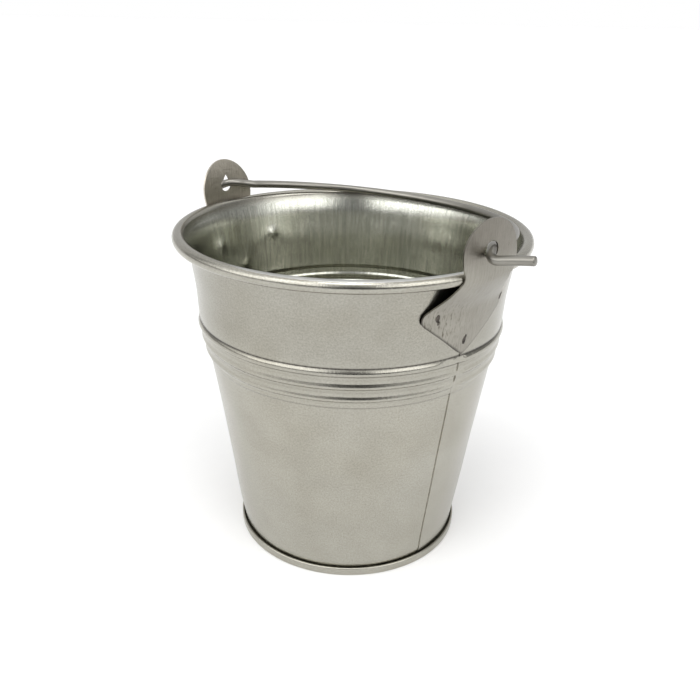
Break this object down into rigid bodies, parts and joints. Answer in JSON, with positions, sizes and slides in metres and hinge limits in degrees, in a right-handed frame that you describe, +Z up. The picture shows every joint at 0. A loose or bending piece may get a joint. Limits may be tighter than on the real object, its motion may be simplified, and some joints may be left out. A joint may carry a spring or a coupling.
{
  "type": "florist bucket",
  "caption": "Small tapered galvanised sheet-metal bucket with a rolled rim, raised bead, stepped wall, welded ears and a folding wire bail, for holding flowers or a pot",
  "frame": {"origin": "centre of the base ring, on the surface the bucket stands on", "axes": "+Z up; X is parallel to the bail's hinge axis through the two ears; the bail is folded down towards +Y at rest"},
  "size_m": [0.164, 0.13, 0.1392],
  "materials": {
    "galvanised_sheet": "thin galvanised sheet, satin with soft mottling and fine vertical rolling lines",
    "ear_plate": "galvanised plate with a coarser vertical grain and a hammered texture low down",
    "bail_wire": "galvanised wire, semi-bright, finely drawn along its length",
    "steel_wire": "plain steel wire, hidden inside the rolled rim",
    "weld": "small dark heat-stained spot-weld marks"
  },
  "bodies": {
    "bucket": {"wall": "galvanised_sheet", "rim_wire": "steel_wire", "bottom_pan": "galvanised_sheet", "ear_right": "ear_plate", "ear_left": "ear_plate", "spot_welds": "weld"},
    "bail": {"bail": "bail_wire"}
  },
  "joints": [
    {"name": "bail_hinge", "type": "hinge", "parent": "bucket", "child": "bail", "pos_m": [0, -0.00708, 0.1291], "axis": [1, 0, 0], "range_deg": [0, 195]}
  ]
}
